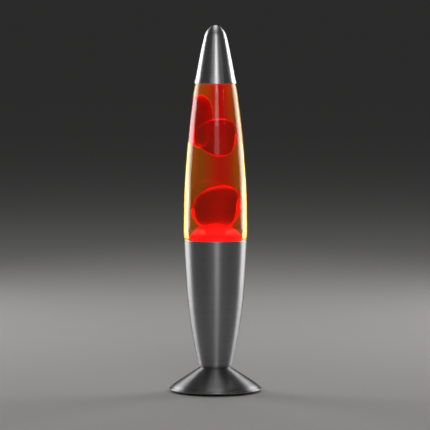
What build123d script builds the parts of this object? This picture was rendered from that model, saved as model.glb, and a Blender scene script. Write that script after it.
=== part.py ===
"""Rocket-shaped lava lamp, 339 mm tall, as an assembly of separate pieces.

Millimetres, +Z up, origin on the table under the lamp's axis, cord side towards +Y.
From the table up: rubber feet and bottom cover, conical foot, tapered housing with the
lampholder and reflector bulb, sealed glass bottle of liquid and wax, and the lift-off cap.
"""

from math import cos, pi, radians, sin, tan

from build123d import *

import os

# ---------------------------------------------------------------- driving dimensions
LAMP_HEIGHT = 339.0
SHEET = 1.0                  # wall of the spun aluminium foot and housing
CAP_SHEET = 0.8              # wall of the spun aluminium cap

FOOT_RADIUS = 42.5           # widest point of the foot
RIM_LIFT = 1.8               # gap under the foot's rolled rim
WAIST_HEIGHT = 23.0          # where the foot meets the housing
WAIST_RADIUS = 14.6

HOUSING_TOP = 140.9
HOUSING_TOP_RADIUS = 29.3

CAP_BOTTOM = 285.2
CAP_BOTTOM_RADIUS = 19.75

GLASS_WALL = 2.5
CROWN_TOP = 306.6
LIQUID_LEVEL = 292.5

NIPPLE_RADIUS = 5.0          # M10 x 1 lamp nipple
NIPPLE_BORE = 3.7
NIPPLE_BOTTOM = 13.5
HOLE_PLAY = 0.15             # radial play of a fastener in a sheet hole

COVER_BOTTOM = 2.3
COVER_THICKNESS = 1.6
COVER_RADIUS = 40.2
COVER_TOP = COVER_BOTTOM + COVER_THICKNESS

HOLDER_BOTTOM = 35.0         # lampholder, from its dome to its mouth
HOLDER_SPLIT = 50.0
HOLDER_TOP = 79.0
HOLDER_RADIUS = 13.7

BULB_BOTTOM = 54.0           # solder pip of the bulb
BULB_TOP = 119.0
BULB_RADIUS = 19.5           # R39 reflector bulb
BULB_CAP_RADIUS = 6.9        # E14 screw cap, over its crests
BULB_WALL = 0.7

# The three free pieces of wax: centre, half width, half height and lean in degrees.
WAX_UPPER = dict(centre=(-8.6, 10.2, 248.6), half_width=7.0, half_height=24.8, lean=(6.0, 0.0))
WAX_MIDDLE = dict(centre=(1.4, -7.9, 235.5), half_width=14.1, half_height=17.8, lean=(0.0, 0.0))
WAX_LOWER_CENTRE = 172.6
WAX_LOWER_HALF_WIDTH = 16.7
WAX_LOWER_TOP = 191.2
WAX_NECK_RADIUS = 8.8        # where the lower wax parts from the pool
WAX_NECK_HEIGHT = 154.2
WAX_NECK_DISH = 1.6
WAX_GAP = 0.3
# The liquid is kept in layers, so that no layer holds a wholly enclosed hollow.
LIQUID_LAYERS = ((120.0, WAX_LOWER_CENTRE), (WAX_LOWER_CENTRE, 244.0), (244.0, 310.0))


# ---------------------------------------------------------------- helpers
def at(radius, height):
    """A point of a lathe profile."""
    return Vector(radius, 0, height)


def lathe(*edges):
    """The solid swept by a closed profile turned about Z."""
    return revolve(make_face(edges), Axis.Z, 360)


def turned(*corners):
    """A turned solid whose profile is a polygon of (radius, height) corners."""
    return lathe(*Polyline(*[at(*c) for c in corners], close=True).edges())


def ring(inner, outer, bottom, top):
    """A plain ring, or a disc when inner is 0."""
    return turned((inner, bottom), (outer, bottom), (outer, top), (inner, top))


def inside_of(curve, wall, count=14):
    """The curve that lies one wall thickness to the left of curve, seen from +Y looking at -Y."""
    points = []
    for i in range(count + 1):
        along = curve.tangent_at(i / count)
        points.append(curve.position_at(i / count) + Vector(-along.Z, 0, along.X) * wall)
    return Spline(*points)


def around(shape, count, radius=0.0, start=0.0):
    """Copies of shape, turned about Z at equal angles after a shift along X."""
    return [Rot(0, 0, start + 360 * i / count) * (Pos(radius, 0, 0) * shape) for i in range(count)]


def put_out(name, *shapes):
    """Writes one node; several solids stay separate inside it."""
    solids = [s for shape in shapes for s in shape.solids()]
    export_step(solids[0] if len(solids) == 1 else Compound(children=solids), f"parts/{name}.step")


# ---------------------------------------------------------------- foot
FOOT_SLOPE = radians(33.0)   # of the cone, above the table
FOOT_DOME_RADIUS = 36.0      # where the cone starts to round over towards the rim
BEAD = 0.55                  # half the thickness of the rolled rim


def foot_outline():
    """Outer line of the foot, from the edge of its top plate down to its widest point."""
    plate_edge = at(WAIST_RADIUS - 0.5, WAIST_HEIGHT)
    dome_height = WAIST_HEIGHT - (FOOT_DOME_RADIUS - plate_edge.X) * tan(FOOT_SLOPE)
    down = Vector(cos(FOOT_SLOPE), 0, -sin(FOOT_SLOPE))
    dome_start = at(FOOT_DOME_RADIUS, dome_height)
    cone = Line(plate_edge, dome_start)
    rim = at(FOOT_RADIUS, RIM_LIFT + BEAD)
    dome = Spline(dome_start, rim, tangents=[down, (0.12, 0, -1)])
    return plate_edge, cone, dome, rim


def foot_shell():
    plate_edge, cone, dome, rim = foot_outline()
    inner_cone = inside_of(cone, -SHEET, 1)
    inner_dome = inside_of(dome, -SHEET)
    bore = NIPPLE_RADIUS + HOLE_PLAY
    plate_bottom = WAIST_HEIGHT - SHEET
    # The inner cone starts where it meets the underside of the top plate.
    along = (inner_cone @ 0).Z - plate_bottom
    inner_start = (inner_cone @ 0) + Vector(along / tan(FOOT_SLOPE), 0, -along)
    rim_inside = inner_dome @ 1
    shell = lathe(
        Line(at(bore, WAIST_HEIGHT), plate_edge),
        cone,
        dome,
        ThreePointArc(rim, (rim + rim_inside) / 2 - Vector(0, 0, BEAD), rim_inside),
        inner_dome,
        Line(inner_dome @ 0, inner_start),
        Line(inner_start, at(bore, plate_bottom)),
        Line(at(bore, plate_bottom), at(bore, WAIST_HEIGHT)),
    )
    return shell - grommet_frame() * Cylinder(GROMMET_NECK + HOLE_PLAY, 8)


def foot_envelope():
    """The foot as a full solid, for shaping what lies on it."""
    plate_edge, cone, dome, rim = foot_outline()
    return lathe(
        Line(at(0, WAIST_HEIGHT), plate_edge), cone, dome,
        Line(rim, at(0, rim.Z)), Line(at(0, rim.Z), at(0, WAIST_HEIGHT)),
    )


GROMMET_FOOT_RADIUS = 29.5   # where its axis meets the cone
GROMMET_FLANGE = 5.6
GROMMET_NECK = 4.2
GROMMET_BARB = 4.8
GROMMET_BORE = 2.9
GROMMET_DEPTH = 4.6


def grommet_frame():
    """Plane on the back of the cone, its normal pointing straight out of the sheet."""
    plate_edge, cone, _, _ = foot_outline()
    height = WAIST_HEIGHT - (GROMMET_FOOT_RADIUS - plate_edge.X) * tan(FOOT_SLOPE)
    return Plane(
        origin=(0, GROMMET_FOOT_RADIUS, height),
        x_dir=(1, 0, 0),
        z_dir=(0, sin(FOOT_SLOPE), cos(FOOT_SLOPE)),
    )


def cord_grommet():
    """Snap-in bush: flange outside the sheet, barb behind it, bore for the mains cord."""
    flange = turned(
        (GROMMET_BORE, -0.9), (GROMMET_FLANGE, -0.9), (GROMMET_FLANGE, 0.7), (GROMMET_FLANGE - 0.7, 1.4),
        (GROMMET_BORE + 0.5, 1.4), (GROMMET_BORE, 0.9),
    )
    neck = turned(
        (GROMMET_BORE, -GROMMET_DEPTH), (GROMMET_NECK - 0.5, -GROMMET_DEPTH), (GROMMET_BARB, -SHEET - 0.9),
        (GROMMET_BARB, -SHEET - 0.3), (GROMMET_NECK, -SHEET - 0.3), (GROMMET_NECK, 0.5), (GROMMET_BORE, 0.5),
    )
    frame = grommet_frame()
    return (frame * flange - foot_envelope()) + frame * neck


STRAP_WIDTH = 12.0
STRAP_THICKNESS = 1.2
STRAP_LEG = 22.0             # radius where a leg meets its flange
SCREW_RADIUS_OUT = 26.5      # of the cover screws, from the lamp's axis
SCREW_SHANK = 1.5


def foot_strap():
    """Bent steel strap, clamped at its middle, whose two flanges carry the cover's screws."""
    top = WAIST_HEIGHT - SHEET - WASHER - STRAP_THICKNESS / 2
    low = COVER_TOP + STRAP_THICKNESS / 2
    route = FilletPolyline(
        at(-31, low), at(-STRAP_LEG, low), at(-12.5, top), at(12.5, top), at(STRAP_LEG, low), at(31, low),
        radius=2.0,
    )
    strip = trace(Plane.XZ.to_local_coords(route), STRAP_THICKNESS)
    strap = extrude(Plane.XZ * strip, STRAP_WIDTH / 2, both=True)
    strap -= Pos(0, 0, top) * Cylinder(NIPPLE_RADIUS + HOLE_PLAY, 4)
    for hole in around(Pos(0, 0, low) * Cylinder(SCREW_SHANK, 4), 2, SCREW_RADIUS_OUT):
        strap -= hole
    return strap


def bottom_cover():
    """Moulded cover with a ring of vent slots, a stiffening rib and two screw holes."""
    cover = turned(
        (0, COVER_BOTTOM), (COVER_RADIUS - 0.4, COVER_BOTTOM), (COVER_RADIUS, COVER_BOTTOM + 0.4),
        (COVER_RADIUS, COVER_TOP), (0, COVER_TOP),
    )
    cover += ring(35.0, 36.2, COVER_TOP, COVER_TOP + 1.8)
    slot = Pos(0, 0, COVER_BOTTOM) * extrude(SlotOverall(9, 2.2), 2 * COVER_THICKNESS, both=True)
    for cutter in around(slot, 12, 14.5, 15):
        cover -= cutter
    for hole in around(Pos(0, 0, COVER_BOTTOM) * Cylinder(SCREW_SHANK + HOLE_PLAY, 6), 2, SCREW_RADIUS_OUT):
        cover -= hole
    return cover


def cover_screw():
    """Pan-head screw with a cross recess, head down."""
    head_bottom = COVER_BOTTOM - 1.3
    screw = turned(
        (0, head_bottom), (1.6, head_bottom), (2.7, head_bottom + 0.7), (2.7, COVER_BOTTOM),
        (SCREW_SHANK, COVER_BOTTOM), (SCREW_SHANK, COVER_TOP + 3.6), (SCREW_SHANK - 0.6, COVER_TOP + 4.4),
        (0, COVER_TOP + 4.4),
    )
    for turn in (0, 90):
        screw -= Pos(0, 0, head_bottom) * Rot(0, 0, turn) * Box(2.6, 0.6, 1.4)
    return screw


def rubber_foot():
    return turned((0, 0), (4.1, 0), (4.9, 0.8), (4.9, COVER_BOTTOM), (0, COVER_BOTTOM))


# ---------------------------------------------------------------- waist fastening
WASHER = 1.0
NUT_HEIGHT = 3.0
NUT_ACROSS_FLATS = 14.0


def nut():
    """Thin hexagon nut for the nipple, standing on Z 0."""
    body = extrude(RegularPolygon(NUT_ACROSS_FLATS / 2, 6, major_radius=False), NUT_HEIGHT)
    crown = turned(
        (0, 0), (NUT_ACROSS_FLATS / 2, 0), (NUT_ACROSS_FLATS / 2 + 1.2, 0.7),
        (NUT_ACROSS_FLATS / 2 + 1.2, NUT_HEIGHT - 0.7), (NUT_ACROSS_FLATS / 2, NUT_HEIGHT), (0, NUT_HEIGHT),
    )
    return (body & crown) - Cylinder(NIPPLE_RADIUS, 4 * NUT_HEIGHT)


def threaded_nipple():
    top = HOLDER_BOTTOM + 7.0
    edge = 0.5
    return turned(
        (NIPPLE_BORE, NIPPLE_BOTTOM), (NIPPLE_RADIUS - edge, NIPPLE_BOTTOM),
        (NIPPLE_RADIUS, NIPPLE_BOTTOM + edge), (NIPPLE_RADIUS, top - edge), (NIPPLE_RADIUS - edge, top),
        (NIPPLE_BORE, top),
    )


# ---------------------------------------------------------------- housing
HOUSING_LINE = (             # outer radius and height between the bottom corner and the rim
    (16.7, 29.5), (20.45, 48.0), (24.0, 70.4), (26.5, 92.7), (28.15, 118.5),
)


def housing_shell():
    """Bullet-shaped cup: flat bottom with the nipple hole, tight corner, swelling wall, rounded rim."""
    bottom_edge = at(WAIST_RADIUS - 0.9, WAIST_HEIGHT)
    corner = at(15.7, WAIST_HEIGHT + 1.9)
    rim_height = HOUSING_TOP - SHEET / 2
    wall = Spline(
        corner, *[at(*p) for p in HOUSING_LINE], at(HOUSING_TOP_RADIUS, rim_height),
        tangents=[(0.28, 0, 1), (0.035, 0, 1)],
    )
    bend = Spline(bottom_edge, corner, tangents=[(1, 0, 0), (0.28, 0, 1)])
    inner_wall = inside_of(wall, SHEET, 24)
    inner_bottom = at(bottom_edge.X - 0.2, WAIST_HEIGHT + SHEET)
    inner_bend = Spline(inner_bottom, inner_wall @ 0, tangents=[(1, 0, 0), (0.28, 0, 1)])
    bore = NIPPLE_RADIUS + HOLE_PLAY
    rim_out = wall @ 1
    rim_in = inner_wall @ 1
    return lathe(
        Line(at(bore, WAIST_HEIGHT), bottom_edge),
        bend,
        wall,
        ThreePointArc(rim_out, (rim_out + rim_in) / 2 + Vector(0, 0, SHEET / 2), rim_in),
        inner_wall,
        inner_bend,
        Line(inner_bottom, at(bore, inner_bottom.Z)),
        Line(at(bore, inner_bottom.Z), at(bore, WAIST_HEIGHT)),
    )


# ---------------------------------------------------------------- lampholder
INSERT_TOP = 57.0
MOUTH_RADIUS = 9.6           # opening of the holder's skirt round the bulb
CONTACT_WALL = 0.35
CONTACT_RADIUS = BULB_CAP_RADIUS + 0.15
TERMINAL_X = 7.6


def holder_dome():
    """Lower half of the lampholder, screwed on the nipple, with its cord channel left open."""
    return turned(
        (NIPPLE_RADIUS, HOLDER_BOTTOM), (9.0, HOLDER_BOTTOM), (12.0, HOLDER_BOTTOM + 3.0),
        (HOLDER_RADIUS - 0.4, HOLDER_SPLIT - 5.0), (HOLDER_RADIUS, HOLDER_SPLIT - 4.6),
        (HOLDER_RADIUS, HOLDER_SPLIT), (11.9, HOLDER_SPLIT), (11.9, HOLDER_SPLIT - 6.0),
        (9.8, HOLDER_BOTTOM + 5.5), (NIPPLE_RADIUS, HOLDER_BOTTOM + 5.5),
    )


def holder_skirt():
    """Upper half: plain skirt that closes over the insert and shields the bulb's cap."""
    skirt = turned(
        (11.9, HOLDER_SPLIT), (HOLDER_RADIUS, HOLDER_SPLIT), (HOLDER_RADIUS - 0.5, HOLDER_TOP - 1.2),
        (HOLDER_RADIUS - 1.7, HOLDER_TOP), (MOUTH_RADIUS + 0.4, HOLDER_TOP), (MOUTH_RADIUS, HOLDER_TOP - 0.4),
        (MOUTH_RADIUS, HOLDER_TOP - 9.0), (11.7, HOLDER_TOP - 11.0), (11.9, HOLDER_SPLIT + 1.0),
    )
    groove = Pos(HOLDER_RADIUS + 0.35, 0, 0) * Cylinder(0.8, 12)
    for cutter in around(Pos(0, 0, HOLDER_SPLIT + 8) * groove, 24):
        skirt -= cutter
    return skirt


def holder_insert():
    """Ceramic core: cup for the contacts, with a pocket and a wire hole at each terminal."""
    core = turned(
        (0, HOLDER_SPLIT - 5.8), (11.7, HOLDER_SPLIT - 5.8), (11.7, INSERT_TOP),
        (CONTACT_RADIUS + 0.9, INSERT_TOP), (CONTACT_RADIUS + 0.9, HOLDER_SPLIT + 1.0),
        (0, HOLDER_SPLIT + 1.0),
    )
    for side in (-1, 1):
        core -= Pos(side * TERMINAL_X, 0, HOLDER_SPLIT - 4.4) * Box(4.4, 6.0, 4.4)
        core -= Pos(side * TERMINAL_X, 0, HOLDER_SPLIT + 2.0) * Cylinder(1.75, 12)
    return core


def thread_contact():
    """Brass liner that the bulb's screw cap turns in."""
    outer = CONTACT_RADIUS + CONTACT_WALL
    low = HOLDER_SPLIT + 2.2
    return turned(
        (4.6, low), (outer, low), (outer, HOLDER_TOP - 10.5), (outer + 0.7, HOLDER_TOP - 9.8),
        (outer + 0.7, HOLDER_TOP - 9.4), (CONTACT_RADIUS, HOLDER_TOP - 9.6 - CONTACT_WALL),
        (CONTACT_RADIUS, low + CONTACT_WALL), (4.6, low + CONTACT_WALL),
    )


def centre_contact():
    """Phosphor-bronze tongue, riveted at one end and bowed up to the bulb's pip."""
    seat = HOLDER_SPLIT + 1.2
    top = BULB_BOTTOM - 0.35
    spring = Polyline(at(-3.9, seat), at(-2.2, seat), at(-0.9, top), at(1.2, top), at(2.6, seat + 1.2))
    strip = trace(Plane.XZ.to_local_coords(spring), 0.4)
    tongue = extrude(Plane.XZ * strip, 1.6, both=True)
    return tongue - Pos(0, 0, seat - 1.2) * Box(12, 8, 2.0)


def terminal_screw():
    """Slotted brass screw in its pocket, head up."""
    top = HOLDER_SPLIT + 0.4
    screw = turned(
        (0, top - 6.2), (1.1, top - 6.2), (1.3, top - 6.0), (1.3, top - 1.4), (1.7, top - 1.4),
        (1.7, top), (0, top),
    )
    return screw - Pos(0, 0, top) * Box(4, 0.5, 1.2)


# ---------------------------------------------------------------- bulb
BULB_NECK = 8.2
BULB_GLASS_BOTTOM = 72.5
BULB_SHELL_BOTTOM = BULB_BOTTOM + 4.2
CAP_LINER = 0.3              # sheet of the screw cap


def bulb_glass():
    """Blown reflector envelope: neck, flare, widest ring and a gently domed front."""
    widest = at(BULB_RADIUS, 103.0)
    neck_low = at(BULB_CAP_RADIUS - 1.0, BULB_GLASS_BOTTOM - 3.0)
    neck_high = at(BULB_NECK, BULB_GLASS_BOTTOM + 7.0)
    neck = Spline(
        neck_low, at(6.15, BULB_GLASS_BOTTOM + 0.9), at(7.4, BULB_GLASS_BOTTOM + 3.6), neck_high,
        tangents=[(0, 0, 1), (0.12, 0, 1)],
    )
    flare = Spline(neck_high, at(12.6, 88.5), at(17.9, 97.0), widest, tangents=[(0.12, 0, 1), (0, 0, 1)])
    front = Spline(
        widest, at(17.2, BULB_TOP - 8.6), at(10.6, BULB_TOP - 2.3), at(0, BULB_TOP),
        tangents=[(0, 0, 1), (-1, 0, 0)],
    )
    inner_front = inside_of(front, BULB_WALL)
    inner_top = at(0, BULB_TOP - BULB_WALL)
    inner_flare = inside_of(flare, BULB_WALL)
    inner_neck = inside_of(neck, BULB_WALL)
    return lathe(
        neck, flare, front, Line(front @ 1, inner_top), inner_front, inner_flare, inner_neck,
        Line(inner_neck @ 0, neck_low),
    )


def bulb_cap():
    """E14 screw shell; its rolled thread is kept as its plain outer size."""
    low = BULB_SHELL_BOTTOM
    return turned(
        (4.4, low), (BULB_CAP_RADIUS - 0.9, low + 1.6), (BULB_CAP_RADIUS, low + 2.6),
        (BULB_CAP_RADIUS, BULB_GLASS_BOTTOM - 1.2), (BULB_CAP_RADIUS - 0.1, BULB_GLASS_BOTTOM + 0.6),
        (BULB_CAP_RADIUS - 0.4, BULB_GLASS_BOTTOM + 0.6), (BULB_CAP_RADIUS - 0.5, BULB_GLASS_BOTTOM - 1.2),
        (BULB_CAP_RADIUS - 0.5, low + 2.8), (BULB_CAP_RADIUS - 1.2, low + 1.9), (4.4, low + CAP_LINER),
    )


def bulb_insulator():
    """Black glass button between the shell and the pip."""
    low = BULB_SHELL_BOTTOM
    return turned(
        (0, BULB_BOTTOM + 1.6), (2.6, BULB_BOTTOM + 1.6), (4.4, low - 0.4), (4.4, low + CAP_LINER),
        (3.8, low + 1.2), (0, low + 1.2),
    )


def bulb_pip():
    return turned(
        (0, BULB_BOTTOM), (1.2, BULB_BOTTOM), (2.2, BULB_BOTTOM + 0.7), (2.4, BULB_BOTTOM + 1.6),
        (0, BULB_BOTTOM + 1.6),
    )


STEM_TOP = 92.0
FILAMENT_HEIGHT = 99.5
LEAD = 0.35
LEAD_SPREAD = 6.0


def bulb_stem():
    """Glass stem that carries the lead wires up from the cap."""
    low = BULB_GLASS_BOTTOM - 2.0
    return turned(
        (0, low), (4.8, low), (4.6, low + 0.9), (2.6, low + 4.0), (2.2, STEM_TOP - 3.0), (1.4, STEM_TOP),
        (0, STEM_TOP),
    ) - Rot(0, 90, 0) * Pos(-(STEM_TOP - 4.0), 0, 0) * Cylinder(LEAD + 0.05, 8)


def bulb_lead(side):
    """One bent lead wire, from the stem out to an end of the filament."""
    route = Polyline(
        (side * 1.6, 0, STEM_TOP - 4.0), (side * 3.4, 0, STEM_TOP - 4.0),
        (side * LEAD_SPREAD, 0, FILAMENT_HEIGHT),
    )
    wire = sweep(Plane(route @ 0, z_dir=route % 0) * Circle(LEAD), path=route, transition=Transition.ROUND)
    return wire


def bulb_filament():
    """Filament as the slim body of its fine coil, sagging between the leads."""
    arc = ThreePointArc(
        (-LEAD_SPREAD + LEAD + 0.1, 0, FILAMENT_HEIGHT - 0.4), (0, 0, FILAMENT_HEIGHT + 1.6),
        (LEAD_SPREAD - LEAD - 0.1, 0, FILAMENT_HEIGHT - 0.4),
    )
    return sweep(Plane(arc @ 0, z_dir=arc % 0) * Circle(0.45), path=arc)


# ---------------------------------------------------------------- bottle
PLUG_RADIUS = 27.3           # of the bottle's foot, inside the housing's rim
HEEL_HEIGHT = 131.2
PUNT = 2.2                   # rise of the bottle's bottom at its centre
BOTTLE_LINE = (              # outer radius and height of the glass between shoulder and cap ledge
    (29.34, 147.0), (29.33, 163.0), (28.65, 193.0), (26.75, 222.5), (24.68, 244.5), (21.95, 266.6),
    (20.0, 280.3),
)
THROAT = 8.6


def bottle_outside():
    """Outer line of the glass, from the axis under the punt to the top of the lip."""
    heel = at(20.5, HEEL_HEIGHT)
    heel_top = at(PLUG_RADIUS, HEEL_HEIGHT + 6.6)
    shoulder_low = at(PLUG_RADIUS, 139.3)
    shoulder = at(28.9, 141.5)
    seat = at(18.87, CAP_BOTTOM + 0.3)
    neck = at(12.5, 299.8)
    bead = at(13.25, 303.4)
    lip = at(11.6, CROWN_TOP - 0.8)
    return [
        ThreePointArc(at(0, HEEL_HEIGHT + PUNT), at(11.0, HEEL_HEIGHT + 1.5), heel),
        Spline(heel, at(25.3, HEEL_HEIGHT + 2.1), heel_top, tangents=[(1, 0, -0.05), (0, 0, 1)]),
        Line(heel_top, shoulder_low),
        Line(shoulder_low, shoulder),
        Spline(shoulder, *[at(*p) for p in BOTTLE_LINE], seat, tangents=[(0.18, 0, 1), (-0.24, 0, 1)]),
        Spline(seat, at(17.3, 290.6), at(14.6, 296.1), neck, tangents=[(-0.27, 0, 1), (-0.05, 0, 1)]),
        Spline(neck, at(12.75, 301.2), bead, tangents=[(-0.05, 0, 1), (0, 0, 1)]),
        Spline(bead, lip, tangents=[(0, 0, 1), (-1, 0, 0)]),
        Line(lip, at(THROAT + 1.0, CROWN_TOP - 0.8)),
    ]


def bottle_inside():
    """Inner line of the glass, from the middle of its bottom up to the throat."""
    floor_edge = at(18.6, 134.4)
    heel = at(24.7, 139.6)
    throat = at(THROAT, 300.8)
    wall = [at(r - GLASS_WALL, z) for r, z in BOTTLE_LINE]
    return [
        ThreePointArc(at(0, 136.4), at(10.0, 135.9), floor_edge),
        Spline(floor_edge, at(22.9, 136.0), heel, tangents=[(1, 0, -0.05), (0.1, 0, 1)]),
        Spline(
            heel, *wall, at(15.9, 287.0), at(11.6, 296.0), throat, tangents=[(0.3, 0, 1), (-0.15, 0, 1)],
        ),
        Line(throat, at(THROAT, CROWN_TOP - 1.8)),
    ]


def glass_bottle():
    outside = bottle_outside()
    inside = bottle_inside()
    lip_out = outside[-1] @ 1
    lip_in = inside[-1] @ 1
    return lathe(
        *outside,
        ThreePointArc(lip_out, at(THROAT + 0.29, CROWN_TOP - 1.09), lip_in),
        *inside,
        Line(inside[0] @ 0, outside[0] @ 0),
    )


def bottle_filling():
    """Everything below the liquid's level inside the glass."""
    inside = bottle_inside()
    top = at(0, CROWN_TOP - 1.8)
    full = lathe(*inside, Line(inside[-1] @ 1, top), Line(top, inside[0] @ 0))
    below = Pos(0, 0, LIQUID_LEVEL - 100) * Cylinder(60, 200)
    return full & below


FLUTES = 21
CROWN_SHEET = 0.3


def crown_cap():
    """Crimped crown closure: domed top and a skirt of 21 flutes."""
    outline = Spline(
        *[
            (
                (14.05 + 0.35 * cos(pi * k)) * cos(pi * k / FLUTES),
                (14.05 + 0.35 * cos(pi * k)) * sin(pi * k / FLUTES),
            )
            for k in range(2 * FLUTES)
        ],
        periodic=True,
    )
    fluted = Pos(0, 0, 300.9) * extrude(make_face(outline), CROWN_TOP - 300.9)
    body = turned(
        (0, 300.9), (14.4, 300.9), (14.4, 302.6), (13.9, CROWN_TOP - 1.4), (12.4, CROWN_TOP), (0, CROWN_TOP),
    )
    hollow = turned(
        (0, 300), (13.5, 300), (13.5, 304.2), (13.1, CROWN_TOP - 1.0), (12.2, CROWN_TOP - CROWN_SHEET),
        (0, CROWN_TOP - CROWN_SHEET),
    )
    return (fluted & body) - hollow


def crown_liner():
    low, high = CROWN_TOP - 0.8, CROWN_TOP - CROWN_SHEET
    return turned((0, low), (11.9, low), (12.1, high), (0, high))


# ---------------------------------------------------------------- wax and heating coil
COIL_RING = 15.5             # centre line of the ring that the coil is bent into
COIL_RADIUS = 2.6            # over the wire
COIL_WALL = 0.4              # close turns of fine wire, kept as one thin sleeve
COIL_HEIGHT = 137.8


def heating_coil():
    """Close-wound wire spring bent into a ring, as a sleeve that is open along its underside."""
    sleeve = Torus(COIL_RING, COIL_RADIUS) - Torus(COIL_RING, COIL_RADIUS - COIL_WALL)
    return Pos(0, 0, COIL_HEIGHT) * (sleeve - ring(COIL_RING - 0.5, COIL_RING + 0.5, -4, 0))


def coil_room():
    """The ring-shaped groove that the coil takes up in the wax, down to the glass."""
    play = 0.1
    groove = ring(COIL_RING - COIL_RADIUS - play, COIL_RING + COIL_RADIUS + play, 128, COIL_HEIGHT)
    return groove + Pos(0, 0, COIL_HEIGHT) * Torus(COIL_RING, COIL_RADIUS + play)


def neck_dish(gap=0.0):
    """The shallow bowl where the lower wax parts from the pool."""
    return Spline(
        at(WAX_NECK_RADIUS, WAX_NECK_HEIGHT + gap),
        at(WAX_NECK_RADIUS * 0.55, WAX_NECK_HEIGHT + gap - WAX_NECK_DISH * 0.7),
        at(0, WAX_NECK_HEIGHT + gap - WAX_NECK_DISH),
        tangents=[(-1, 0, -0.4), (-1, 0, 0)],
    )


def pool_envelope():
    """Outside of the pool as a full solid, running down past the glass."""
    mound = Spline(
        at(28.0, 138.4), at(20.6, 139.2), at(17.3, 141.3), at(14.9, 145.4), at(12.1, 149.7), at(9.8, 152.6),
        at(WAX_NECK_RADIUS, WAX_NECK_HEIGHT), tangents=[(-1, 0, 0.05), (-0.15, 0, 1)],
    )
    return lathe(
        Line(at(0, 130), at(28.0, 130)), Line(at(28.0, 130), at(28.0, 138.4)), mound, neck_dish(),
        Line(at(0, WAX_NECK_HEIGHT - WAX_NECK_DISH), at(0, 130)),
    )


def wax_pool():
    """Mound of melted wax in the bottle's heel, rising to a short neck."""
    return (pool_envelope() & bottle_filling()) - coil_room()


def wax_lower():
    """Large piece of wax that is parting from the pool."""
    widest = at(WAX_LOWER_HALF_WIDTH, WAX_LOWER_CENTRE)
    start = at(WAX_NECK_RADIUS, WAX_NECK_HEIGHT + WAX_GAP)
    return lathe(
        Spline(start, at(13.6, 160.6), widest, tangents=[(0.8, 0, 1), (0, 0, 1)]),
        Spline(widest, at(12.3, 185.2), at(0, WAX_LOWER_TOP), tangents=[(0, 0, 1), (-1, 0, 0)]),
        Line(at(0, WAX_LOWER_TOP), at(0, WAX_NECK_HEIGHT + WAX_GAP - WAX_NECK_DISH)),
        neck_dish(WAX_GAP),
    )


def wax_drop(centre, half_width, half_height, lean):
    """Floating piece of wax: an egg of the given size, leaning about X and Y."""
    top, side, low = at(0, half_height), at(half_width, 0), at(0, -half_height)
    egg = lathe(
        Spline(low, at(half_width * 0.74, -half_height * 0.68), side, tangents=[(1, 0, 0), (0, 0, 1)]),
        Spline(side, at(half_width * 0.74, half_height * 0.68), top, tangents=[(0, 0, 1), (-1, 0, 0)]),
        Line(top, low),
    )
    return Pos(*centre) * Rot(lean[0], lean[1], 0) * egg


# ---------------------------------------------------------------- cap
CAP_LINE = ((18.1, 292.0), (15.35, 306.4), (12.25, 321.0), (9.45, 331.3), (7.15, 335.0), (4.2, 337.7))


def top_cap():
    """Bullet-nosed cap, open below, its edge slightly flared and rounded."""
    edge = CAP_SHEET / 2
    outside = Spline(
        at(CAP_BOTTOM_RADIUS, CAP_BOTTOM + edge), *[at(*p) for p in CAP_LINE], at(0, LAMP_HEIGHT),
        tangents=[(-0.27, 0, 1), (-1, 0, 0)],
    )
    inside = inside_of(outside, CAP_SHEET, 24)
    low_out, low_in = outside @ 0, inside @ 0
    return lathe(
        outside,
        Line(outside @ 1, inside @ 1),
        inside,
        ThreePointArc(low_in, (low_in + low_out) / 2 - Vector(0, 0, edge), low_out),
    )


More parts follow.
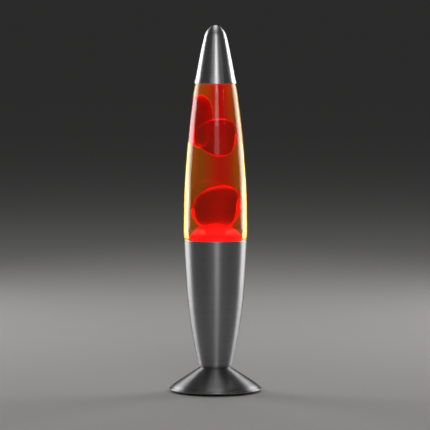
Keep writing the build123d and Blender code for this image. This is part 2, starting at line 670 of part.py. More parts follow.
# ---------------------------------------------------------------- assembly
def main():
    os.makedirs("parts", exist_ok=True)
    below_plate = WAIST_HEIGHT - SHEET
    above_plate = WAIST_HEIGHT + SHEET

    put_out("foot_shell", foot_shell())
    put_out("cord_grommet", cord_grommet())
    put_out("foot_strap", foot_strap())
    put_out("bottom_cover", bottom_cover())
    put_out("cover_screws", *around(cover_screw(), 2, SCREW_RADIUS_OUT))
    put_out("rubber_feet", *around(rubber_foot(), 4, 31.0, 45))
    put_out("base_housing", housing_shell())

    washer = ring(NIPPLE_RADIUS + HOLE_PLAY, 10.0, 0, WASHER)
    put_out("nipple_washers", Pos(0, 0, below_plate - WASHER) * washer, Pos(0, 0, above_plate) * washer)
    put_out(
        "nipple_nuts",
        Pos(0, 0, below_plate - WASHER - STRAP_THICKNESS - NUT_HEIGHT) * nut(),
        Pos(0, 0, above_plate + WASHER) * nut(),
    )
    put_out("threaded_nipple", threaded_nipple())

    put_out("lampholder_dome", holder_dome())
    put_out("lampholder_skirt", holder_skirt())
    put_out("lampholder_insert", holder_insert())
    put_out("thread_contact", thread_contact())
    put_out("centre_contact", centre_contact())
    put_out("terminal_screws", *[Pos(side * TERMINAL_X, 0, 0) * terminal_screw() for side in (-1, 1)])

    put_out("bulb_glass", bulb_glass())
    put_out("bulb_screw_cap", bulb_cap())
    put_out("bulb_insulator", bulb_insulator())
    put_out("bulb_pip", bulb_pip())
    put_out("bulb_stem", bulb_stem())
    leads = [bulb_lead(-1), bulb_lead(1)]
    put_out("bulb_lead_wires", *leads)
    put_out("bulb_filament", bulb_filament() - leads[0] - leads[1])

    pool, lower = wax_pool(), wax_lower()
    middle, upper = wax_drop(**WAX_MIDDLE), wax_drop(**WAX_UPPER)
    liquid = bottle_filling() - pool_envelope()
    for wax in (lower, middle, upper):
        liquid = liquid - wax
    layers = [liquid & Pos(0, 0, (low + high) / 2) * Box(80, 80, high - low) for low, high in LIQUID_LAYERS]
    put_out("glass_bottle", glass_bottle())
    put_out("liquid", *layers)
    put_out("wax_pool", pool)
    put_out("wax_lower_blob", lower)
    put_out("wax_middle_blob", middle)
    put_out("wax_upper_blob", upper)
    put_out("heating_coil", heating_coil())
    put_out("crown_cap", crown_cap())
    put_out("crown_liner", crown_liner())
    put_out("top_cap", top_cap())


main()
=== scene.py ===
"""Looks of the lava lamp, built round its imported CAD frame. Metres, +Z up, front towards -Y."""

import math

import bmesh
import bpy
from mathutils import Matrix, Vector, noise


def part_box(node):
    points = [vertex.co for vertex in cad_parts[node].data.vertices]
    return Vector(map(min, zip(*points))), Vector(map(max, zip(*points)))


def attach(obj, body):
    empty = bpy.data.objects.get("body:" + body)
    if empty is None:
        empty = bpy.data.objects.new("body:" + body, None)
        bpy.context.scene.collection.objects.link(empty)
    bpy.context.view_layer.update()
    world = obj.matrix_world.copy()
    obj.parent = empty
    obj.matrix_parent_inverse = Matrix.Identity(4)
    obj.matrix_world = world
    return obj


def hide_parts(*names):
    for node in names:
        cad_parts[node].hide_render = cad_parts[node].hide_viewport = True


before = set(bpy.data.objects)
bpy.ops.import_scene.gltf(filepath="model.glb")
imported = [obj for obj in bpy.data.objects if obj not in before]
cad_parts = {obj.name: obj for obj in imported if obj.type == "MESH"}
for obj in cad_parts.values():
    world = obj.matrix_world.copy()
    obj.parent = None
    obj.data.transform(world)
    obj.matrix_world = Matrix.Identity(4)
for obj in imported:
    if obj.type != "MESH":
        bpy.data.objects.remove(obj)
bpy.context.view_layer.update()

MM = 0.001
ROUND = 256  # segments round the axis of the large turned pieces
WAX_ROUND = 160  # the same, for the wax that is turned

# Sizes that follow the CAD, in mm and degrees.
STUD_HOLE = 5.15  # radius of the holes that the threaded nipple passes through
FOOT_SLOPE = 33.0  # the foot's cone, from the horizontal
FOOT_TOP = 14.1  # radius where the cone starts, and of the housing's waist
BUSH_HOLE = 4.35  # radius
HOUSING_SHEET = 1.0
FOOT_SHEET = 1.0
CAP_SHEET = 0.8

# Profiles of the bottle, in mm: its wall outside and inside, upwards, and its raised floor, outwards.
OUTER_GLASS = [(28.9, 141.5), (29.34, 147.0), (29.33, 163.0), (28.65, 193.0), (26.75, 222.5), (24.68, 244.5),
               (21.95, 266.6), (20.0, 280.3), (18.87, 285.5), (17.3, 290.6), (14.6, 296.1), (12.5, 299.8),
               (12.75, 301.2), (13.2, 303.4)]
INNER_GLASS = [(18.6, 134.4), (22.9, 136.0), (24.7, 139.6), (26.84, 147.0), (26.83, 163.0), (26.15, 193.0),
               (24.25, 222.5), (22.18, 244.5), (19.45, 266.6), (17.5, 280.3), (15.9, 287.0), (11.6, 296.0),
               (8.6, 300.8)]
FLOOR_GLASS = [(0.5, 136.4), (10.0, 135.9), (18.6, 134.4)]
FLOOR_MIDDLE = 136.4


# ------------------------------------------------------------------ mesh helpers
def smooth_line(points, per=10):
    """Points along a smooth curve (centripetal) through the given (radius, height) points."""
    pts = [Vector(p) for p in points]
    pts = [pts[0] * 2 - pts[1]] + pts + [pts[-1] * 2 - pts[-2]]
    out = []
    for i in range(1, len(pts) - 2):
        p0, p1, p2, p3 = pts[i - 1 : i + 3]
        t0 = 0.0
        t1 = t0 + max((p1 - p0).length, 1e-9) ** 0.5
        t2 = t1 + max((p2 - p1).length, 1e-9) ** 0.5
        t3 = t2 + max((p3 - p2).length, 1e-9) ** 0.5
        for k in range(per):
            t = t1 + (t2 - t1) * k / per
            a1 = p0 * ((t1 - t) / (t1 - t0)) + p1 * ((t - t0) / (t1 - t0))
            a2 = p1 * ((t2 - t) / (t2 - t1)) + p2 * ((t - t1) / (t2 - t1))
            a3 = p2 * ((t3 - t) / (t3 - t2)) + p3 * ((t - t2) / (t3 - t2))
            b1 = a1 * ((t2 - t) / (t2 - t0)) + a2 * ((t - t0) / (t2 - t0))
            b2 = a2 * ((t3 - t) / (t3 - t1)) + a3 * ((t - t1) / (t3 - t1))
            out.append(tuple(b1 * ((t2 - t) / (t2 - t1)) + b2 * ((t - t1) / (t2 - t1))))
    out.append(tuple(points[-1]))
    return out


def arc(centre, radius, start, end, steps=8):
    """Points on an arc of a profile; angles in degrees from +radius towards +height."""
    out = []
    for k in range(steps + 1):
        a = math.radians(start + (end - start) * k / steps)
        out.append((centre[0] + radius * math.cos(a), centre[1] + radius * math.sin(a)))
    return out


def joined(*lines):
    """Profile lines end to end, without doubled points."""
    out = []
    for line in lines:
        for p in line:
            if not out or (Vector(p) - Vector(out[-1])).length > 1e-5:
                out.append(tuple(p))
    return out


def offset_line(line, distance):
    """The line moved sideways by distance, to its left along its own direction."""
    out = []
    for i, p in enumerate(line):
        a, b = Vector(line[max(i - 1, 0)]), Vector(line[min(i + 1, len(line) - 1)])
        d = (b - a).normalized()
        out.append((max(p[0] - d.y * distance, 0.0), p[1] + d.x * distance))
    return out


def new_object(name, bm, material, body, smooth=True):
    """An object made from bm, in metres, riding on a CAD body."""
    mesh = bpy.data.meshes.new(name)
    bmesh.ops.recalc_face_normals(bm, faces=bm.faces)
    bm.to_mesh(mesh)
    bm.free()
    ob = bpy.data.objects.new(name, mesh)
    bpy.context.scene.collection.objects.link(ob)
    if smooth:
        mesh.polygons.foreach_set("use_smooth", [True] * len(mesh.polygons))
    if material:
        mesh.materials.append(material)
    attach(ob, body)
    return ob


def lathe_bmesh(profile, segments=ROUND, closed=True, shape=None):
    """A turned surface from a profile in mm. Points on the axis become single vertices."""
    bm = bmesh.new()
    rings = []
    for r, z in profile:
        if r < 1e-4:
            rings.append([bm.verts.new((0, 0, z * MM))])
            continue
        ring = []
        for k in range(segments):
            a = 2 * math.pi * k / segments
            x, y, h = r * math.cos(a), r * math.sin(a), z
            if shape:
                x, y, h = shape(x, y, h, a)
            ring.append(bm.verts.new((x * MM, y * MM, h * MM)))
        rings.append(ring)
    pairs = list(zip(rings, rings[1:]))
    if closed:
        pairs.append((rings[-1], rings[0]))
    for a, b in pairs:
        if len(a) == 1 and len(b) == 1:
            continue
        for k in range(segments):
            n = (k + 1) % segments
            if len(a) == 1:
                bm.faces.new((a[0], b[k], b[n]))
            elif len(b) == 1:
                bm.faces.new((a[k], b[0], a[n]))
            else:
                bm.faces.new((a[k], b[k], b[n], a[n]))
    return bm


def sharpen(ob, degrees):
    """Keep edges sharper than the angle from being smoothed over."""
    ob.data.set_sharp_from_angle(angle=math.radians(degrees))


# ------------------------------------------------------------------ material helpers
class Paint:
    """A material with one Principled shader, and short calls for its node tree."""

    def __init__(self, name, colour, roughness=0.5, metallic=0.0, **sockets):
        self.mat = bpy.data.materials.new(name)
        self.mat.use_nodes = True
        self.nt = self.mat.node_tree
        self.nt.nodes.clear()
        self.out = self.node("ShaderNodeOutputMaterial")
        self.bsdf = self.node("ShaderNodeBsdfPrincipled")
        self.nt.links.new(self.bsdf.outputs[0], self.out.inputs["Surface"])
        self.set("Base Color", (*colour, 1.0))
        self.set("Roughness", roughness)
        self.set("Metallic", metallic)
        for key, value in sockets.items():
            self.set(key.replace("_", " "), value)

    def node(self, kind, **props):
        n = self.nt.nodes.new(kind)
        for key, value in props.items():
            setattr(n, key, value)
        return n

    def set(self, socket, value):
        self.bsdf.inputs[socket].default_value = value

    def link(self, a, b):
        self.nt.links.new(a, b)

    def coords(self, scale=(1, 1, 1)):
        """Object coordinates, stretched."""
        c = self.node("ShaderNodeTexCoord")
        m = self.node("ShaderNodeMapping")
        m.inputs["Scale"].default_value = scale
        self.link(c.outputs["Object"], m.inputs["Vector"])
        return m.outputs[0]

    def noise(self, where, scale, detail=4.0, rough=0.5):
        n = self.node("ShaderNodeTexNoise")
        n.inputs["Scale"].default_value = scale
        n.inputs["Detail"].default_value = detail
        n.inputs["Roughness"].default_value = rough
        self.link(where, n.inputs["Vector"])
        return n.outputs["Fac"]

    def ramp(self, value, stops, colour=False):
        r = self.node("ShaderNodeValToRGB")
        r.color_ramp.elements[0].position = stops[0][0]
        r.color_ramp.elements[-1].position = stops[-1][0]
        for position, _ in stops[1:-1]:
            r.color_ramp.elements.new(position)
        for element, (_, v) in zip(r.color_ramp.elements, stops):
            element.color = (*v, 1) if colour else (v, v, v, 1)
        self.link(value, r.inputs["Fac"])
        return r.outputs["Color"]

    def span(self, value, low, high, from_low=0.0, from_high=1.0):
        m = self.node("ShaderNodeMapRange")
        m.inputs["From Min"].default_value = from_low
        m.inputs["From Max"].default_value = from_high
        m.inputs["To Min"].default_value = low
        m.inputs["To Max"].default_value = high
        self.link(value, m.inputs["Value"])
        return m.outputs["Result"]

    def add(self, a, b, how="ADD", amount=None):
        m = self.node("ShaderNodeMath", operation=how)
        self.link(a, m.inputs[0])
        if b is None:
            m.inputs[1].default_value = amount
        else:
            self.link(b, m.inputs[1])
        return m.outputs[0]

    def mix(self, fac, a, b, how="MIX"):
        m = self.node("ShaderNodeMix", data_type="RGBA", blend_type=how)
        if isinstance(fac, float):
            m.inputs["Factor"].default_value = fac
        else:
            self.link(fac, m.inputs["Factor"])
        for socket, v in ((m.inputs[6], a), (m.inputs[7], b)):
            if isinstance(v, tuple):
                socket.default_value = (*v, 1)
            else:
                self.link(v, socket)
        return m.outputs[2]

    def bump(self, height, strength, distance):
        b = self.node("ShaderNodeBump")
        b.inputs["Strength"].default_value = strength
        b.inputs["Distance"].default_value = distance
        self.link(height, b.inputs["Height"])
        self.link(b.outputs[0], self.bsdf.inputs["Normal"])
        return b

    def feed(self, socket, source):
        self.link(source, self.bsdf.inputs[socket])


def spun_metal(name, colour, roughness, shift, stretch=0.72):
    """Spun aluminium: fine rings left by the tool, satin, with the highlight drawn along the axis.

    shift moves the coarse rings' pattern; stretch is how far the highlight is drawn out.
    """
    p = Paint(name, colour, roughness, 1.0, Anisotropic=stretch, Anisotropic_Rotation=0.25)
    rings = p.coords((6, 6, 900))
    fine = p.noise(rings, 7.0, 3.0, 0.65)
    coarse = p.noise(p.coords((14, 14, 260)), 1.7 + shift, 4.0, 0.6)
    cloud = p.noise(p.coords((1, 1, 1)), 34.0, 5.0, 0.6)
    speck = p.noise(p.coords((1, 1, 2.6)), 1500.0, 2.0, 0.7)
    lines = p.add(p.add(fine, None, "MULTIPLY", 0.6), p.add(coarse, None, "MULTIPLY", 0.4))
    dark, light = [c * 0.86 for c in colour], [min(c * 1.08, 1) for c in colour]
    tone = p.ramp(lines, [(0.3, dark), (0.7, light)], True)
    tone = p.mix(p.span(speck, 0.0, 0.35, 0.45, 0.75), tone, tuple(c * 0.72 for c in colour))
    p.feed("Base Color", tone)
    rough = p.add(p.span(lines, roughness - 0.05, roughness + 0.06, 0.3, 0.7), p.span(cloud, -0.02, 0.03))
    p.feed("Roughness", rough)
    p.bump(p.add(lines, p.add(speck, None, "MULTIPLY", 0.5)), 0.22, 0.00003)
    tangent = p.node("ShaderNodeTangent", direction_type="RADIAL", axis="Z")
    p.link(tangent.outputs[0], p.bsdf.inputs["Tangent"])
    return p.mat


def plain_metal(name, colour, roughness, grain=900.0, stain=(0.75, 0.7, 0.6)):
    """Rolled or plated metal with handling marks and dulling."""
    p = Paint(name, colour, roughness, 1.0)
    cloud = p.noise(p.coords(), 160.0, 5.0, 0.6)
    marks = p.noise(p.coords((1, 3.5, 1)), grain, 3.0, 0.6)
    dull = p.mix(p.span(cloud, 0.0, 0.7, 0.4, 0.75), colour, tuple(c * s for c, s in zip(colour, stain)))
    p.feed("Base Color", dull)
    p.feed("Roughness", p.add(p.span(marks, roughness - 0.08, roughness + 0.1), p.span(cloud, -0.03, 0.1)))
    p.bump(p.add(marks, cloud), 0.25, 0.00003)
    return p.mat


def plastic(name, colour, roughness, grain, depth=0.00004):
    """Moulded plastic or rubber with an even fine grain and slight wear."""
    p = Paint(name, colour, roughness)
    fine = p.noise(p.coords(), grain, 2.0, 0.6)
    cloud = p.noise(p.coords(), 70.0, 5.0, 0.65)
    worn = tuple(c * 1.7 + 0.006 for c in colour)
    p.feed("Base Color", p.mix(p.span(cloud, 0.0, 0.6, 0.35, 0.8), colour, worn))
    p.feed("Roughness", p.span(cloud, roughness - 0.06, roughness + 0.1, 0.3, 0.7))
    p.bump(fine, 0.5, depth)
    return p.mat


def clear_volume(p, colour, density):
    """Colour that deepens with the length of the way through."""
    v = p.node("ShaderNodeVolumeAbsorption")
    v.inputs["Color"].default_value = (*colour, 1)
    v.inputs["Density"].default_value = density
    p.link(v.outputs[0], p.out.inputs["Volume"])


def bottle_glass():
    p = Paint("bottle_glass", (1.0, 1.0, 1.0), 0.0, Transmission_Weight=1.0, IOR=1.5)
    sag = p.noise(p.coords((1, 1, 0.35)), 55.0, 2.0, 0.4)
    p.bump(sag, 0.12, 0.0004)
    smear = p.noise(p.coords(), 240.0, 5.0, 0.7)
    p.feed("Roughness", p.span(smear, 0.0, 0.02, 0.5, 0.8))
    clear_volume(p, (1.0, 0.985, 0.55), 45.0)
    return p.mat


def amber_liquid():
    p = Paint("amber_liquid", (1.0, 1.0, 1.0), 0.0, Transmission_Weight=1.0, IOR=1.36)
    stir = p.noise(p.coords((1, 1, 0.5)), 26.0, 3.0, 0.5)
    p.bump(stir, 0.05, 0.0004)
    clear_volume(p, (1.0, 0.76, 0.01), 70.0)
    return p.mat


def red_wax(name, glow, low, high, edge=0.80, bright=0.95):
    """Clouded red wax with a painted glow (emission) standing in for the bulb's light from below: the glow
    fades between the heights low and high, in mm.

    A second painted glow starts where the surface's slope up or down passes edge, and is clear from bright
    on.
    """
    p = Paint(name, (0.95, 0.10, 0.06), 0.12, Transmission_Weight=0.92, IOR=1.09)
    cloud = p.noise(p.coords(), 70.0, 5.0, 0.6)
    p.feed("Base Color", p.ramp(cloud, [(0.3, (1.0, 0.03, 0.03)), (0.75, (0.75, 0.01, 0.015))], True))
    p.feed("Roughness", p.span(cloud, 0.06, 0.2, 0.3, 0.7))
    p.bump(p.noise(p.coords(), 90.0, 3.0, 0.5), 0.15, 0.0006)
    height = p.node("ShaderNodeSeparateXYZ")
    p.link(p.coords(), height.inputs[0])
    # Painted glow, brightest low down, standing in for the bulb's light from below.
    fade = p.span(height.outputs[2], 1.0, 0.0, low * MM, high * MM)
    colour = p.ramp(fade, [(0.0, (0.0, 0.0, 0.0)), (0.35, (0.03, 0.0, 0.0)), (0.65, (0.25, 0.001, 0.001)),
                           (1.0, (0.85, 0.002, 0.004))], True)
    # Painted glow on the crown and the underside of each piece, where light from below would gather.
    facing = p.node("ShaderNodeSeparateXYZ")
    p.link(p.node("ShaderNodeNewGeometry").outputs["Normal"], facing.inputs[0])
    upright = p.add(facing.outputs[2], None, "ABSOLUTE", 0.0)
    painted_end_glow = p.ramp(upright, [(edge, (0.0, 0.0, 0.0)), (bright, (0.20, 0.001, 0.002)),
                                (1.0, (0.7, 0.003, 0.006))], True)
    colour = p.mix(1.0, colour, painted_end_glow, "LIGHTEN")
    p.feed("Emission Color", colour)
    p.set("Emission Strength", glow)
    clear_volume(p, (1.0, 0.02, 0.02), 160.0)
    return p.mat


# ------------------------------------------------------------------ the visible pieces
def housing(material):
    low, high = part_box("base_housing")
    waist = low.z / MM
    top = high.z / MM
    wall = smooth_line(
        [(FOOT_TOP, waist + 0.12), (15.7, waist + 1.9), (16.7, 29.5), (20.45, 48.0), (24.0, 70.4),
         (26.5, 92.7), (28.15, 118.5), (29.28, top - 0.55)], 16)
    base = joined([(STUD_HOLE, waist)], arc((13.6, waist + 0.5), 0.5, -90, -45, 4), wall[2:])
    rim = arc((28.78, top - 0.5), 0.5, 5, 175, 10)
    inner = [p for p in reversed(offset_line(wall, HOUSING_SHEET)) if waist + 1.6 < p[1] < top - 0.6]
    profile = joined(base, rim, inner, [(13.9, waist + 1.05), (STUD_HOLE, waist + HOUSING_SHEET)])
    ob = new_object("housing", lathe_bmesh(profile), material, "base")
    sharpen(ob, 40)
    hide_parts("base_housing")
    return ob


def foot(material):
    low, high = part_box("foot_shell")
    top = high.z / MM
    edge = min(-low.x, high.x, high.y) / MM
    slope = math.tan(math.radians(FOOT_SLOPE))
    cone_end = 36.0
    cone_z = top - (cone_end - FOOT_TOP) * slope
    steps = 24
    reach = [(cone_end - FOOT_TOP) * k / steps for k in range(steps + 1)]
    cone = [(FOOT_TOP + r, top - r * slope) for r in reach]
    bead, lowest = 1.15, 1.85  # rolled rim: its radius and its height above the ground
    dome = smooth_line(
        [(cone_end - 1, cone_z + slope), (cone_end, cone_z), (39.2, cone_z - 2.35), (41.2, 4.3)], 12)
    dome = [p for p in dome if p[0] >= cone_end]
    roll = arc((edge - bead, lowest + bead), bead, 62, -150, 22)
    inner = [p for p in offset_line(joined(cone, dome), -FOOT_SHEET) if p[1] < top - 1.05]
    under = top - FOOT_SHEET
    profile = joined([(STUD_HOLE, top), (13.8, top)], cone, dome, roll, list(reversed(inner)),
                     [(12.8, under), (STUD_HOLE, under)])
    ob = new_object("foot", lathe_bmesh(profile), material, "base")
    # Hole for the cord bush, square to the cone at the back.
    bush_low, bush_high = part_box("cord_grommet")
    tilt = math.radians(FOOT_SLOPE)
    centre = (bush_low + bush_high) / 2
    bm = bmesh.new()
    bmesh.ops.create_cone(
        bm, cap_ends=True, segments=64, radius1=BUSH_HOLE * MM, radius2=BUSH_HOLE * MM, depth=9 * MM)
    cutter = bpy.data.objects.new("cutter", bpy.data.meshes.new("cutter"))
    bm.to_mesh(cutter.data)
    bm.free()
    bpy.context.scene.collection.objects.link(cutter)
    cutter.location = centre
    cutter.rotation_euler = (-tilt, 0, 0)
    bpy.context.view_layer.update()
    mod = ob.modifiers.new("bush_hole", "BOOLEAN")
    mod.object = cutter
    mod.operation = "DIFFERENCE"
    mod.solver = "EXACT"
    done = bpy.data.meshes.new_from_object(ob.evaluated_get(bpy.context.evaluated_depsgraph_get()))
    ob.modifiers.clear()
    ob.data = done
    bpy.data.objects.remove(cutter)
    sharpen(ob, 40)
    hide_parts("foot_shell")
    return ob


def cap(material):
    low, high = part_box("top_cap")
    bottom, top = low.z / MM, high.z / MM
    line = smooth_line(
        [(19.62, bottom + 0.9), (18.1, 292.0), (15.35, 306.4), (12.25, 321.0), (9.45, 331.3), (7.15, 335.0),
         (4.2, 337.7), (1.6, top - 0.14), (0.0, top)], 12)
    line[-1] = (0.0, top)
    hem = arc((19.2, bottom + 0.52), 0.5, -90, 35, 8)
    inner = [p for p in offset_line(line, CAP_SHEET) if p[1] > bottom + 0.9]
    inner[-1] = (0.0, top - CAP_SHEET)
    profile = joined([(18.92, bottom + 0.12)], hem, line, list(reversed(inner)), [(18.78, bottom + 0.5)])
    ob = new_object("cap", lathe_bmesh(profile), material, "cap")
    sharpen(ob, 40)
    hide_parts("top_cap")
    return ob


def bottle(material):
    _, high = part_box("glass_bottle")
    lip = high.z / MM
    outside = joined(
        [(0, 133.4)], smooth_line([(0.5, 133.4), (11.0, 132.7), (20.5, 131.2)], 10),
        smooth_line([(20.5, 131.2), (25.3, 133.3), (27.3, 137.8)], 10), [(27.3, 139.3)],
        smooth_line(OUTER_GLASS, 12), [(12.9, lip - 0.4), (12.0, lip)],
        smooth_line([(9.6, lip), (8.9, lip - 0.3), (8.6, lip - 1.0)], 5),
    )
    inside = joined(
        list(reversed(smooth_line(INNER_GLASS, 12))),
        list(reversed(smooth_line(FLOOR_GLASS, 10))), [(0, FLOOR_MIDDLE)],
    )
    bm = lathe_bmesh(joined(outside, inside), closed=False)
    ob = new_object("bottle", bm, material, "bottle")
    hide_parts("glass_bottle")
    return ob


def liquid(material):
    """Full body of liquid, a hair larger than the glass's hollow so that no air lies between them."""
    _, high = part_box("liquid")
    level = high.z / MM
    press = 0.12
    wall = [(r + press, z) for r, z in smooth_line(INNER_GLASS, 12) if z < level - 0.3]
    edge = wall[-1][0]
    floor_line = [(r, z - press) for r, z in smooth_line(FLOOR_GLASS, 10)]
    surface = [(edge, level + 0.35), (edge - 0.6, level + 0.05), (edge - 1.6, level - 0.1), (0, level - 0.12)]
    profile = joined([(0, FLOOR_MIDDLE - press)], floor_line, wall, surface)
    ob = new_object("liquid_fill", lathe_bmesh(profile, closed=False), material, "bottle")
    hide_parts("liquid")
    return ob


def blob(name, centre, half_width, half_height, material, body, lean=(0, 0), sway=0.0, lumps=0.03, seed=1,
         top=1.0, squash=1.0, fullness=2.0):
    """Floating wax: an egg with a swaying middle line and soft lumps.

    Sizes in mm, lean in degrees. More fullness gives blunter ends, top widens the upper half, and squash
    flattens the egg from front to back.
    """
    bm = bmesh.new()
    bmesh.ops.create_icosphere(bm, subdivisions=6, radius=1.0)
    shift = Vector((seed * 3.1, seed * 1.7, seed * 0.9))
    for v in bm.verts:
        d = v.co.normalized()
        wide = half_width * (1 + lumps * 2.0 * (noise.noise(d * 1.3 + shift)))
        across = max(math.hypot(d.x, d.y), 1e-6)
        reach = math.sqrt(max(1 - abs(d.z) ** fullness, 0)) / across * (1 + (top - 1) * d.z)
        x, y = d.x * wide * reach, d.y * wide * reach * squash
        z = d.z * half_height * (1 + lumps * noise.noise(d * 1.1 - shift))
        bend = sway * math.sin(math.pi * 0.5 * (d.z + 1))
        x += z * math.tan(math.radians(lean[0])) + bend
        y += z * math.tan(math.radians(lean[1]))
        v.co = Vector((centre[0] + x, centre[1] + y, centre[2] + z)) * MM
    return new_object(name, bm, material, body)


def lower_blob(material):
    """The egg of wax that is parting from the mound, its shoulder sloping to the left."""
    low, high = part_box("wax_lower_blob")
    bottom, top = low.z / MM, high.z / MM
    hollow = bottom + 3.3  # where the mound's hill reaches up into it
    line = smooth_line([(0, hollow), (3.8, bottom + 2.9), (6.8, bottom + 1.7), (8.9, bottom + 1.0),
                        (11.0, bottom + 1.9), (14.2, 159.6), (16.5, 165.8),
                        (16.8, 173.5), (15.9, 179.4), (12.9, 185.0), (7.8, 189.2), (3.0, 190.8),
                        (0, top - 0.2)], 12)
    line[0], line[-1] = (0, hollow), (0, top - 0.2)

    def shape(x, y, z, a):
        share = min(max((z - 156) / 18.0, 0), 1)
        crown = min(max((z - 172) / 19.0, 0), 1)
        lump = 1 + 0.022 * noise.noise(Vector((x * 0.09, y * 0.09, z * 0.07)))
        return x * lump + 0.5 * share + 2.0 * crown, y * lump, z + 0.15 * x * share
    ob = new_object("wax_lower", lathe_bmesh(line, WAX_ROUND, False, shape), material, "wax_lower")
    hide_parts("wax_lower_blob")
    return ob


def pool(material):
    """Mound of wax on the bottle's floor, leaning a little to the right, with a hill in its neck."""
    _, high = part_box("wax_pool")
    neck = high.z / MM
    hill = neck + 2.8
    gap = 0.25
    wall = [(r - gap, z) for r, z in smooth_line(INNER_GLASS[:4], 12) if z < 139.4]
    floor_line = [(r, z + gap) for r, z in smooth_line(FLOOR_GLASS, 10)]
    mound = smooth_line([wall[-1], (21.6, 139.7), (19.1, 140.6), (17.7, 143.2), (15.7, 147.2), (12.9, 150.9),
                         (10.6, 153.0), (8.9, neck - 0.1), (6.6, neck + 1.2),
                         (3.6, neck + 2.4), (0, hill)], 10)
    profile = joined([(0, FLOOR_MIDDLE + gap)], floor_line, wall, mound)
    profile[-1] = (0, hill)

    def shape(x, y, z, a):
        share = min(max((z - 140.5) / 6.0, 0), 1)
        lump = 1 + 0.05 * share * noise.noise(Vector((x * 0.08 + 4, y * 0.08, z * 0.05)))
        lean = min(max((153.0 - z) / 12.0, 0), 1)
        return x * lump + 1.1 * share * lean, y * lump, z
    ob = new_object("wax_mound", lathe_bmesh(profile, WAX_ROUND, False, shape), material, "bottle")
    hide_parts("wax_pool")
    return ob


def coil(material):
    """Close wire turns bent into a ring."""
    low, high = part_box("heating_coil")
    middle = (low.z + high.z) / 2 / MM
    over_wire = (high.z - low.z) / 2 / MM
    reach = high.x / MM - over_wire
    wire = 0.42
    turns, steps = 44, 14
    curve = bpy.data.curves.new("coil_line", "CURVE")
    curve.dimensions = "3D"
    line = curve.splines.new("POLY")
    count = turns * steps
    line.points.add(count - 1)
    for i in range(count):
        wind = 2 * math.pi * i / steps
        turn = 2 * math.pi * i / count
        r = reach + (over_wire - wire) * math.cos(wind)
        line.points[i].co = (
            r * math.cos(turn) * MM, r * math.sin(turn) * MM,
            (middle + (over_wire - wire) * math.sin(wind)) * MM, 1)
    line.use_cyclic_u = True
    curve.bevel_depth = wire * MM
    curve.bevel_resolution = 3
    raw = bpy.data.objects.new("coil_raw", curve)
    bpy.context.scene.collection.objects.link(raw)
    mesh = bpy.data.meshes.new_from_object(raw.evaluated_get(bpy.context.evaluated_depsgraph_get()))
    bpy.data.objects.remove(raw)
    ob = bpy.data.objects.new("coil_wire_ring", mesh)
    bpy.context.scene.collection.objects.link(ob)
    mesh.materials.clear()
    mesh.materials.append(material)
    mesh.polygons.foreach_set("use_smooth", [True] * len(mesh.polygons))
    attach(ob, "bottle")
    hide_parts("heating_coil")
    return ob


# ------------------------------------------------------------------ stage
def floor():
    """Pale floor, wide enough for its edge to lie on the horizon."""
    bm = bmesh.new()
    bmesh.ops.create_circle(bm, cap_ends=True, segments=96, radius=200.0)
    mesh = bpy.data.meshes.new("floor")
    bm.to_mesh(mesh)
    bm.free()
    ob = bpy.data.objects.new("floor", mesh)
    bpy.context.scene.collection.objects.link(ob)
    p = Paint("floor_paint", (0.62, 0.61, 0.60), 0.55)
    cloud = p.noise(p.coords(), 3.0, 3.0, 0.5)
    p.feed("Roughness", p.span(cloud, 0.5, 0.6))
    mesh.materials.append(p.mat)


def area_light(name, where, aim, size, power):
    data = bpy.data.lights.new(name, "AREA")
    data.shape = "RECTANGLE"
    data.size, data.size_y = size
    data.energy = power
    ob = bpy.data.objects.new(name, data)
    bpy.context.scene.collection.objects.link(ob)
    ob.location = where
    ob.rotation_euler = (Vector(aim) - Vector(where)).to_track_quat("-Z", "Y").to_euler()


# The glow card's colours, and its red column: how far left of the middle, and its half width, in metres.
AMBER_GLOW = (0.21, 0.09, 0.03)
RED_GLOW = (0.37, 0.004, 0.002)
SOFTBOX_GLOW = (0.85, 0.76, 0.46)
EDGE_GLOW = (1.4, 0.004, 0.004)
RED_OFFSET = 0.13
RED_HALF_WIDTH = 0.50


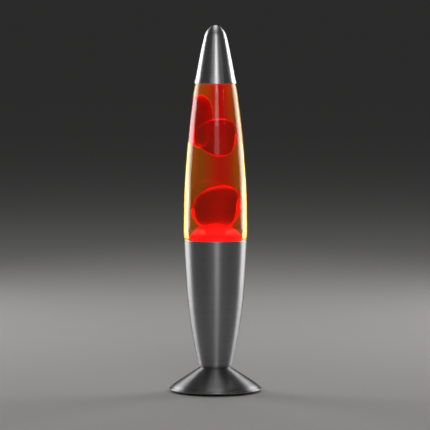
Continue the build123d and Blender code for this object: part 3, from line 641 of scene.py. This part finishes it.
def glow_card():
    """Shell of warm card round the stage, seen only through clear things: red straight behind the lamp.

    It stands in for the bulb's light, which the liquid and the wax would gather.
    """
    profile = [(120, 2), (1200, 30), (1500, 300), (1500, 2400), (0, 2600)]
    bm = lathe_bmesh(profile, 96, closed=False)
    mesh = bpy.data.meshes.new("glow_card")
    bm.to_mesh(mesh)
    bm.free()
    ob = bpy.data.objects.new("glow_card", mesh)
    bpy.context.scene.collection.objects.link(ob)
    p = Paint("glow_paint", (0, 0, 0), 1.0)
    xyz = p.node("ShaderNodeSeparateXYZ")
    p.link(p.coords(), xyz.inputs[0])
    across = p.add(p.add(xyz.outputs[0], None, "ADD", RED_OFFSET), None, "ABSOLUTE", 0.0)
    near = p.node("ShaderNodeMapRange", interpolation_type="SMOOTHSTEP")
    near.inputs["From Min"].default_value = 0.0
    near.inputs["From Max"].default_value = RED_HALF_WIDTH
    near.inputs["To Min"].default_value = 1.0
    near.inputs["To Max"].default_value = 0.0
    p.link(across, near.inputs["Value"])
    behind = p.span(xyz.outputs[1], 0.0, 1.0, 0.1, 0.3)
    fac = p.add(near.outputs["Result"], behind, "MULTIPLY")
    colour = p.mix(fac, AMBER_GLOW, RED_GLOW)
    # Red light from well below and well above, which only the edges of the wax bend towards the eye.
    reach = p.node("ShaderNodeVectorMath", operation="LENGTH")
    p.link(p.coords((1, 1, 0)), reach.inputs[0])
    under = p.span(reach.outputs["Value"], 1.0, 0.0, 0.28, 0.50)
    over = p.span(xyz.outputs[2], 0.0, 1.0, 0.42, 0.60)
    # The side softboxes mirrored in the card on the floor, for the glass that leans back.
    side = p.add(p.add(xyz.outputs[0], None, "ABSOLUTE", 0.0), reach.outputs["Value"], "DIVIDE")
    near_floor = p.span(xyz.outputs[2], 1.0, 0.0, 0.04, 0.10)
    mirrored = p.add(p.span(side, 0.0, 1.0, 0.58, 0.66), near_floor, "MULTIPLY")
    colour = p.mix(mirrored, colour, SOFTBOX_GLOW)
    colour = p.mix(p.add(under, over, "MAXIMUM"), colour, EDGE_GLOW)
    p.feed("Emission Color", colour)
    p.set("Emission Strength", 1.0)
    p.set("Specular IOR Level", 0.0)
    mesh.materials.append(p.mat)
    for ray in ("camera", "diffuse", "glossy", "volume_scatter", "shadow"):
        setattr(ob, f"visible_{ray}", False)


# Area lights: name, place and size in metres, power in watts. The three in front lie in one another.
LIGHTS = [
    ("side_left", (-0.95, 0.72, 0.25), (0.75, 1.3), 9.5),
    ("side_right", (0.95, 0.72, 0.25), (0.75, 1.3), 9.5),
    ("front_core", (0.24, -2.40, 1.20), (0.36, 0.50), 1.7),
    ("front_soft", (0.25, -2.45, 1.08), (0.60, 0.75), 2.2),
    ("front_wide", (0.26, -2.50, 0.98), (0.90, 1.00), 3.0),
    ("front_thin", (1.6, -1.78, 0.95), (0.05, 0.6), 0.3),
    ("front_fill", (0.0, -2.35, 1.85), (2.6, 0.7), 4.5),
    ("top_soft", (0.02, 0.6, 2.0), (0.8, 2.2), 7),
]
LAMP_MIDDLE = (0, 0, 0.17)
SKY_STRENGTH = 0.07


def lights():
    for name, where, size, power in LIGHTS:
        area_light(name, where, LAMP_MIDDLE, size, power)
    world = bpy.data.worlds.new("studio")
    world.use_nodes = True
    sky = world.node_tree.nodes["Background"]
    sky.inputs["Color"].default_value = (0.5, 0.5, 0.5, 1)
    sky.inputs["Strength"].default_value = SKY_STRENGTH
    bpy.context.scene.world = world
    bpy.context.scene.view_settings.view_transform = "Standard"


CAMERA_PLACE = (-0.0004, -3.0, 0.369)
CAMERA_PITCH = -3.913  # degrees, down from the horizontal
LENS = 272.6  # mm, on a sensor 36 mm wide


def camera():
    data = bpy.data.cameras.new("camera")
    data.sensor_width = 36
    data.lens = LENS
    data.clip_start, data.clip_end = 0.05, 500
    ob = bpy.data.objects.new("camera", data)
    bpy.context.scene.collection.objects.link(ob)
    ob.location = CAMERA_PLACE
    ob.rotation_euler = (math.radians(90 + CAMERA_PITCH), 0, 0)
    bpy.context.scene.camera = ob


# ------------------------------------------------------------------ assembly
def dress(node, material):
    """Give a CAD piece that is shown as it is its material."""
    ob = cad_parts[node]
    ob.data.materials.clear()
    ob.data.materials.append(material)


def main():
    # One spun aluminium on all three pieces; their base colours differ as painted shade and light: the
    # housing and foot are darkened against the floor and top light they mirror, and the cap is lightened.
    housing(spun_metal("housing_metal", (0.40, 0.40, 0.41), 0.40, 0.0, 0.90))
    foot(spun_metal("foot_metal", (0.36, 0.36, 0.37), 0.41, 0.3, 0.85))
    cap(spun_metal("cap_metal", (0.66, 0.66, 0.67), 0.34, 0.6))
    bottle(bottle_glass())
    liquid(amber_liquid())
    pool(red_wax("wax_low", 1.0, 150, 162))
    lower_blob(red_wax("wax_mid", 0.9, 150, 166))
    floating = red_wax("wax_high", 1.3, 150, 160)
    m = blob("wax_middle", (3.7, -8.6, 235.5), 15.6, 17.7, floating, "wax_middle",
             sway=-2.8, seed=2, top=1.08, squash=0.68, fullness=2.1)
    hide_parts("wax_middle_blob")
    tall = red_wax("wax_tall", 1.5, 150, 160, 0.30, 0.72)
    u = blob("wax_upper", (-8.6, 10.2, 249.0), 7.5, 24.6, tall, "wax_upper",
             lean=(0, -6), seed=3, squash=0.93, fullness=2.7)
    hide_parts("wax_upper_blob")
    coil(plain_metal("coil_steel", (0.6, 0.6, 0.58), 0.3))

    rubber = plastic("rubber_black", (0.018, 0.018, 0.019), 0.72, 2600.0)
    moulding = plastic("cover_black", (0.03, 0.03, 0.032), 0.55, 1700.0, 0.00007)
    holder = plastic("holder_black", (0.026, 0.025, 0.024), 0.42, 1200.0)
    zinc = plain_metal("zinc_plate", (0.56, 0.56, 0.53), 0.34)
    brass = plain_metal("contact_brass", (0.76, 0.55, 0.25), 0.28)
    for node in ("rubber_feet", "cord_grommet"):
        dress(node, rubber)
    dress("bottom_cover", moulding)
    for node in ("lampholder_dome", "lampholder_skirt"):
        dress(node, holder)
    for node in ("foot_strap", "cover_screws", "nipple_washers", "nipple_nuts", "threaded_nipple"):
        dress(node, zinc)
    for node in ("thread_contact", "centre_contact", "terminal_screws"):
        dress(node, brass)
    dress("lampholder_insert", plastic("steatite", (0.80, 0.77, 0.70), 0.5, 1500.0))
    dress("crown_cap", plain_metal("crown_tin", (0.72, 0.68, 0.55), 0.3))
    dress("crown_liner", plastic("liner_white", (0.7, 0.7, 0.66), 0.6, 1500.0))
    dress("bulb_pip", plain_metal("solder", (0.6, 0.6, 0.58), 0.45))
    dress("bulb_screw_cap", plain_metal("bulb_cap", (0.75, 0.73, 0.68), 0.3))
    dress("bulb_insulator", plastic("black_glass", (0.01, 0.01, 0.012), 0.15, 900.0, 0.00001))
    dress("bulb_lead_wires", plain_metal("lead_nickel", (0.6, 0.57, 0.52), 0.35))
    bulb = Paint("bulb_glass", (0.96, 0.94, 0.9), 0.18, Transmission_Weight=0.75, IOR=1.45)
    bulb.bump(bulb.noise(bulb.coords(), 300.0, 3.0), 0.1, 0.0001)
    dress("bulb_glass", bulb.mat)
    dress("bulb_stem", bulb.mat)
    hot = Paint("hot_wire", (1.0, 0.7, 0.3), 0.5)
    grain = hot.noise(hot.coords(), 900.0)
    hot.feed("Emission Color", hot.ramp(grain, [(0.3, (1.0, 0.42, 0.1)), (0.7, (1.0, 0.66, 0.3))], True))
    hot.set("Emission Strength", 30.0)
    dress("bulb_filament", hot.mat)

    floor()
    glow_card()
    lights()
    camera()


main()
